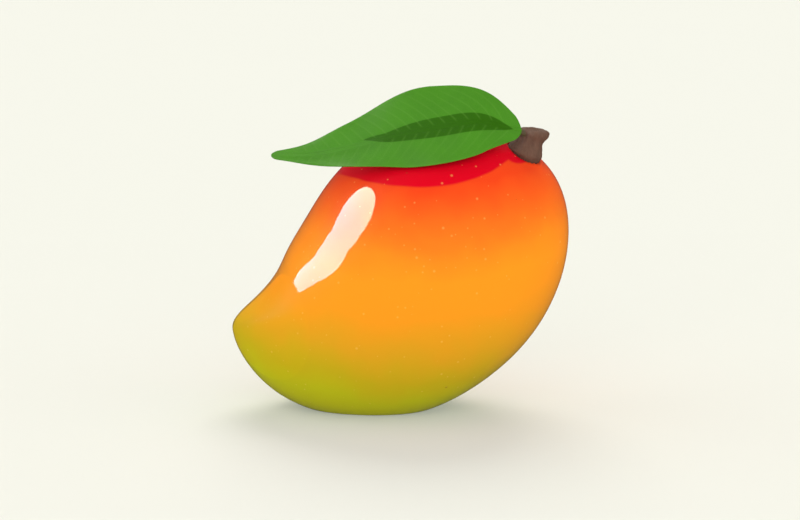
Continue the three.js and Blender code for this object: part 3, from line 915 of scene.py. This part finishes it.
def leaf_green():
    material, tree, shader = new_material("leaf_green")
    place = place_in_mm(tree)
    marks = add(tree, "ShaderNodeSeparateXYZ", {0: stored_mark(tree, "blade_place", "Vector")})
    along, reach, face = (marks.outputs[k] for k in range(3))
    veins = stored_mark(tree, "veins")
    across = maths(tree, "ABSOLUTE", stored_mark(tree, "across"))
    patches = use_group(tree, PATCHES, place, LEAF_PATCHES)
    colour = tint(tree, LEAF_PAINT, LEAF_DEEP_PAINT, patches["Patches"], 0.3)
    colour = tint(tree, colour, LEAF_PALE_PAINT, patches["Grain"], 0.12)
    colour = tint(tree, colour, LEAF_PALE_PAINT, spread(tree, across, *PALE_MARGIN), 0.5)
    # painted shade of the fold along the midrib
    colour = blend(tree, painted_fold_shade(tree, along, reach), colour, FOLD_SHADE_PAINT)
    colour = tint(tree, colour, VEIN_PAINT, veins, 0.22)
    underside = spread(tree, face, -0.9, -0.5, 1.0, 0.0)
    colour = blend(tree, underside, colour, tint(tree, UNDERSIDE_PAINT, LEAF_PALE_PAINT, veins, 0.5))

    rough = maths(tree, "MULTIPLY_ADD", patches["Patches"], 0.08, 0.4)
    rough = maths(tree, "MULTIPLY_ADD", underside, 0.2, rough)
    cells = {"Vector": place, "Scale": NET_SCALE}
    net = add(tree, "ShaderNodeTexVoronoi", cells, feature="DISTANCE_TO_EDGE")
    lines = spread(tree, net.outputs["Distance"], 0.0, NET_LINE)
    relief = maths(tree, "MULTIPLY_ADD", lines, 0.014, maths(tree, "MULTIPLY", patches["Grain"], 0.01))
    dress(tree, shader, colour, rough, relief, LEAF_GLOSS)
    return material


leaf_faces = sheet_faces(BLADE_ROWS, BLADE_COLUMNS)
marks = {"blade_place": leaf_marks, "veins": leaf_veins, "across": leaf_across}
make_piece("leaf_blade", leaf_points, leaf_faces, leaf_green(), "leaf", marks)

# %% [markdown]
# ## The petiole
# The leaf hangs on a short stem of its own, thickest where it leaves the stalk and gone where it has
# become the midrib. It is a tube along a path between those places. Its green turns brown and woody
# towards the stalk.

# %% Sizes and colours of the petiole
PETIOLE_ROOT = (-2.0, -2.0, 6.6)
PETIOLE_RADIUS = 1.35
PETIOLE_END_RADIUS = 0.5
PETIOLE_END = 0.14
PETIOLE_ROWS = 60
PETIOLE_SIDES = 32
PETIOLE_SINK = 0.6  # depth of its middle in the blade, as a share of the thickness there
PETIOLE_FURROW = 0.08
PETIOLE_PAINT = paint(98, 138, 58)
PETIOLE_FOOT_PAINT = paint(92, 70, 54)
PETIOLE_FOOT = (0.38, 0.6)  # its brown turns into green between these shares of the way
PETIOLE_PATCHES = {"Patch Size": 1.5, "Grain Size": 0.3}


# %% The petiole as a tube
def petiole_rings():
    """Points of the petiole ring by ring, each marked with its share of the way."""
    along = np.array([BLADE_END, PETIOLE_END / 2, PETIOLE_END])
    above, below = (blade_points(along, 0 * along, face)[0] for face in (1, -1))
    stations = [on_stalk(PETIOLE_ROOT), *(above + (below - above) * PETIOLE_SINK)]
    share = np.linspace(0, 1, PETIOLE_ROWS)
    middle, forward = along_path(stations, share)
    sideways = unit(np.cross([0, 0, 1], forward))
    upward = np.cross(forward, sideways)
    turn = np.linspace(0, 2 * np.pi, PETIOLE_SIDES, endpoint=False)
    furrow = 1 - PETIOLE_FURROW * np.sin(turn) ** 8
    radius = (PETIOLE_RADIUS + (PETIOLE_END_RADIUS - PETIOLE_RADIUS) * share)[:, None] * furrow
    right, up = radius * np.cos(turn), radius * np.sin(turn)
    points = middle[:, None] + right[..., None] * sideways[:, None] + up[..., None] * upward[:, None]
    return points.reshape(-1, 3), np.repeat(share, PETIOLE_SIDES)


def petiole_green():
    material, tree, shader = new_material("petiole_green")
    place = place_in_mm(tree)
    patches = use_group(tree, PATCHES, place, PETIOLE_PATCHES)
    uneven = maths(tree, "MULTIPLY_ADD", patches["Patches"], 0.12, stored_mark(tree, "way"))
    colour = blend(tree, spread(tree, uneven, *PETIOLE_FOOT), PETIOLE_FOOT_PAINT, PETIOLE_PAINT)
    colour = tint(tree, colour, LEAF_DEEP_PAINT, patches["Grain"], 0.2)
    rough = maths(tree, "MULTIPLY_ADD", patches["Grain"], 0.15, 0.45)
    dress(tree, shader, colour, rough, maths(tree, "MULTIPLY", patches["Grain"], 0.02), {})
    return material


petiole, way = petiole_rings()
petiole_faces = tube_faces(PETIOLE_ROWS, PETIOLE_SIDES)
make_piece("leaf_petiole", petiole, petiole_faces, petiole_green(), "leaf", {"way": way})

# %% [markdown]
# ## The studio
# A wide pale floor and even light show the colours as they are. The floor glows a little by itself,
# which keeps the shadow under the fruit as light and soft as in the picture. Nearby lamps would
# leave the far floor dark, so sheets of light do the work, which fall on everything alike: one from
# the viewer's side for form, a weak one on each flank, and one from above and behind that throws
# the shadow forward. Gloss doesn't see them, and it sees floor and sky much darker than they
# are, so that no haze lies over the deep colours.

# %% Floor
FLOOR_HALF_WIDTH = 12  # metres, so that it fills the picture behind the mango
FLOOR_LOOK = {
    "Base Color": paint(191, 188, 177),
    "Roughness": 0.9,
    "Specular IOR Level": 0.0,
    "Emission Color": paint(240, 251, 255),
    "Emission Strength": 0.25,
}
SKY_PAINT = paint(250, 250, 243)
GLOSS_LIGHT = 0.07  # how bright the gloss sees the floor and the sky


def studio_floor():
    material, tree, shader = new_material("floor_paper")
    feed(tree, shader, FLOOR_LOOK)
    in_gloss = add(tree, "ShaderNodeLightPath").outputs["Is Glossy Ray"]
    dim = add(tree, "ShaderNodeEmission", {"Color": SKY_PAINT, "Strength": GLOSS_LIGHT})
    mixed = add(tree, "ShaderNodeMixShader", {0: in_gloss, 1: shader.outputs[0], 2: dim.outputs[0]})
    feed(tree, tree.nodes["Material Output"], {"Surface": mixed.outputs[0]})
    edge = FLOOR_HALF_WIDTH
    corners = [(-edge, -edge, 0), (edge, -edge, 0), (edge, edge, 0), (-edge, edge, 0)]
    mesh = bpy.data.meshes.new("studio_floor")
    mesh.from_pydata(corners, [], [(0, 1, 2, 3)])
    mesh.materials.append(material)
    floor = bpy.data.objects.new("studio_floor", mesh)
    bpy.context.scene.collection.objects.link(floor)


studio_floor()

# %% World
SKY_LIGHT = 0.72

world = bpy.data.worlds.new("studio_sky")
bpy.context.scene.world = world
world.use_nodes = True
in_gloss = add(world.node_tree, "ShaderNodeLightPath").outputs["Is Glossy Ray"]
strength = maths(world.node_tree, "MULTIPLY_ADD", in_gloss, GLOSS_LIGHT - SKY_LIGHT, SKY_LIGHT)
feed(world.node_tree, world.node_tree.nodes["Background"], {"Color": SKY_PAINT, "Strength": strength})
bpy.context.scene.view_settings.view_transform = "Standard"


# %% Lamps
LIT_HEIGHT = 50  # the lamps face the middle of the fruit
LAMP_DISTANCE = 1.6  # metres
SHEETS_OF_LIGHT = {
    "form_light": (-2, 16, 60, 0.48),
    "right_side_light": (70, 15, 60, 0.15),
    "left_side_light": (-95, 35, 60, 0.1),
    "shadow_light": (178, 44, 40, 0.65),
}  # azimuth, elevation and softness in degrees, and brightness


def place_lamp(name, light, azimuth, elevation, tilt=0):
    """Puts a lamp in a direction from the mango, in degrees from the viewer's side and from level."""
    placed = bpy.data.objects.new(name, light)
    turn, rise = math.radians(azimuth), math.radians(elevation)
    way = Vector((math.sin(turn) * math.cos(rise), -math.cos(turn) * math.cos(rise), math.sin(rise)))
    placed.location = Vector((0, 0, LIT_HEIGHT * MM)) + way * LAMP_DISTANCE
    placed.rotation_mode = "QUATERNION"
    placed.rotation_quaternion = way.to_track_quat("Z", "Y") @ Quaternion((0, 0, 1), math.radians(tilt))
    placed.visible_camera = False
    bpy.context.scene.collection.objects.link(placed)
    print(name, "stands at", [round(value, 2) for value in placed.location])
    return placed


def sheet_of_light(name, azimuth, elevation, softness, brightness):
    """A far, soft light that gloss doesn't see. Brightness is what a white card facing it shows."""
    light = bpy.data.lights.new(name, "SUN")
    light.energy = brightness * math.pi
    light.angle = math.radians(softness)
    place_lamp(name, light, azimuth, elevation).visible_glossy = False


for name, facts in SHEETS_OF_LIGHT.items():
    sheet_of_light(name, *facts)

# %% [markdown]
# ## The pale streak
# The long streak on the flank is the mirror image of one lamp in the wax. A plain oval lamp comes
# back pinched, because the flank swells and hollows on its way to the beak. A photographer would put
# a card with an opening before the lamp, and so does this scene: its two joined ovals were found by
# following lines of sight from the streak to the wax and on to the card. The lamp is cooler low down
# and warmer high up, so that the streak keeps one colour over orange and red. Only gloss sees it.

# %% The lamp for the pale streak
STREAK_LAMP_PLACE = (-78.5, 33.7, -16)  # azimuth, elevation and tilt
STREAK_LAMP_SIZE = (1.46, 1.4)  # metres
STREAK_LAMP_OVALS = [
    ((-0.023, 0.038), (0.641, 0.434), 1),
    ((-0.035, -0.352), (0.745, 0.185), 23),
]  # centre and half-sizes in metres, and turn in degrees, of the openings in its card
STREAK_LAMP_RISE = 0.47  # how much brighter it gets for each metre up
STREAK_LAMP_BRIGHTNESS = 38
STREAK_LAMP_PAINTS = (paint(240, 236, 255), paint(255, 253, 222))  # low down and high up
STREAK_LAMP_BLEND = (-0.45, 0.45)  # metres up, between which the first paint turns into the second


def open_card(tree, lamp):
    """Light through a card before the lamp: its strength, which is none where the card is closed and
    about 1 where it is open, in two ovals that join, and its paint."""
    axes = lamp.rotation_quaternion.to_matrix().transposed()
    place = add(tree, "ShaderNodeNewGeometry").outputs["Position"]
    place = vector_maths(tree, "SUBTRACT", place, tuple(lamp.location))
    across, up = (measure(tree, "DOT_PRODUCT", place, tuple(axes[k])) for k in (0, 1))
    on_card = add(tree, "ShaderNodeCombineXYZ", {0: across, 1: up}).outputs[0]
    openings = []
    for centre, half_sizes, turn in STREAK_LAMP_OVALS:
        oval = {"Location": (*centre, 0), "Rotation": (0, 0, math.radians(turn)), "Scale": (*half_sizes, 1)}
        inside = add(tree, "ShaderNodeMapping", {"Vector": on_card, **oval}, vector_type="TEXTURE")
        openings.append(maths(tree, "LESS_THAN", measure(tree, "LENGTH", inside.outputs[0]), 1.0))
    brighter = maths(tree, "MULTIPLY_ADD", up, STREAK_LAMP_RISE, 1.0)
    strength = maths(tree, "MULTIPLY", maths(tree, "MAXIMUM", *openings), brighter)
    return strength, blend(tree, spread(tree, up, *STREAK_LAMP_BLEND), *STREAK_LAMP_PAINTS)


def streak_lamp():
    """A near lamp that only gloss sees, with a card before it."""
    light = bpy.data.lights.new("streak_lamp", "AREA")
    light.shape = "RECTANGLE"
    light.size, light.size_y = STREAK_LAMP_SIZE
    light.energy = STREAK_LAMP_BRIGHTNESS * math.pi * light.size * light.size_y
    lamp = place_lamp("streak_lamp", light, *STREAK_LAMP_PLACE)
    lamp.visible_diffuse = False
    light.use_nodes = True
    strength, colour = open_card(light.node_tree, lamp)
    feed(light.node_tree, light.node_tree.nodes["Emission"], {"Strength": strength, "Color": colour})


streak_lamp()
